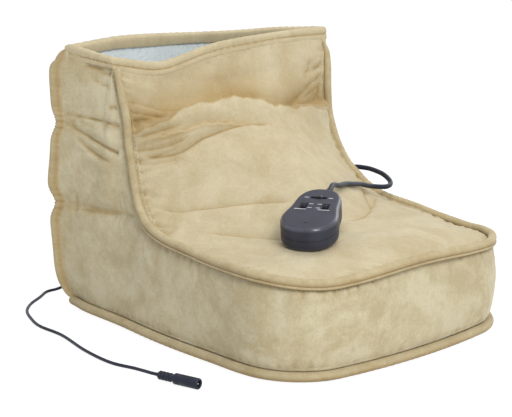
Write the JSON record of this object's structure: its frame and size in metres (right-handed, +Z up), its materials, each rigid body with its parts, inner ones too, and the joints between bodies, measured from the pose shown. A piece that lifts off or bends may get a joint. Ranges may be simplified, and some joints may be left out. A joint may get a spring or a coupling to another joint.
{
  "type": "heated foot massager",
  "caption": "Padded suede-look boot for both feet with heater, vibration motors, a corded slide-switch handset and a supply lead.",
  "frame": {"origin": "on the floor below the middle of the foot pocket's length and width, at the underside of the base cloth", "axes": "+Z up, -Y towards the toe, +Y towards the heel, +X towards the wearer's left, the side where the handset lead enters"},
  "size_m": [0.4508, 0.3878, 0.2566],
  "materials": {
    "suede": "napped faux suede",
    "suede_trim": "faux suede strip",
    "fleece": "short-pile fleece",
    "wadding": "polyester wadding",
    "base_cloth": "non-slip dotted cloth",
    "heater_felt": "felt with heating wire",
    "housing": "moulded black plastic",
    "motor_steel": "drawn steel can",
    "weight_brass": "cast weight",
    "handset": "fine-textured slate plastic",
    "knob": "ribbed black plastic",
    "board": "circuit board",
    "lens": "tinted lamp lens",
    "screw": "plated steel",
    "cable": "matt cable jacket",
    "pin": "plated contact"
  },
  "bodies": {
    "boot": {"side_band_cover": "suede", "instep_cover": "suede", "back_cover": "suede", "instep_piping": "suede_trim", "base_piping": "suede_trim", "edge_binding_left": "suede_trim", "edge_binding_right": "suede_trim", "cuff_binding": "suede_trim", "foot_pocket_lining": "fleece", "side_padding_left": "wadding", "side_padding_right": "wadding", "toe_padding": "wadding", "instep_padding": "wadding", "back_padding": "wadding", "sole_padding": "wadding", "base_cover": "base_cloth", "heater_pad": "heater_felt", "thermal_cutout": "housing", "junction_box": "housing", "junction_lid": "housing", "module_cup_left": "housing", "module_cup_right": "housing", "module_lid_left": "housing", "module_lid_right": "housing", "motor_left": "motor_steel", "motor_right": "motor_steel", "motor_wire_left": "cable", "motor_wire_right": "cable", "heater_wire": "cable", "supply_wire": "cable", "control_wire": "cable", "supply_grommet": "cable", "control_grommet": "cable", "jack_boot": "cable", "jack_body": "cable", "supply_lead": "cable", "control_lead": "cable", "control_lead_coil": "cable", "control_lead_tail": "cable", "coil_tie": "cable", "jack_pin": "pin"},
    "handset": {"handset_upper_shell": "handset", "handset_lower_shell": "handset", "handset_board": "board", "lamp_lens": "lens", "handset_screw_near": "screw", "handset_screw_far": "screw", "handset_strain_relief": "cable", "mode_switch_body": "housing", "heat_switch_body": "housing", "massage_switch_body": "housing"},
    "mode_knob": {"mode_knob": "knob"},
    "heat_knob": {"heat_knob": "knob"},
    "massage_knob": {"massage_knob": "knob"},
    "weight_left": {"weight_left": "weight_brass"},
    "weight_right": {"weight_right": "weight_brass"}
  },
  "joints": [
    {"name": "handset_lift", "type": "slide", "parent": "boot", "child": "handset", "axis": [0, 0, 1], "range_m": [0, 0.1], "deforming": ["control_lead"]},
    {"name": "mode_slide", "type": "slide", "parent": "handset", "child": "mode_knob", "axis": [0.5664, -0.8241, 0], "range_m": [-0.004, 0.004]},
    {"name": "heat_slide", "type": "slide", "parent": "handset", "child": "heat_knob", "axis": [0.8116, 0.5578, 0.1736], "range_m": [0, 0.004]},
    {"name": "massage_slide", "type": "slide", "parent": "handset", "child": "massage_knob", "axis": [0.8116, 0.5578, 0.1736], "range_m": [0, 0.004]},
    {"name": "weight_left_spin", "type": "hinge", "parent": "boot", "child": "weight_left", "pos_m": [-0.06, -0.045, 0.0176], "axis": [1, 0, 0], "continuous": true},
    {"name": "weight_right_spin", "type": "hinge", "parent": "boot", "child": "weight_right", "pos_m": [0.06, -0.045, 0.0176], "axis": [1, 0, 0], "continuous": true}
  ]
}
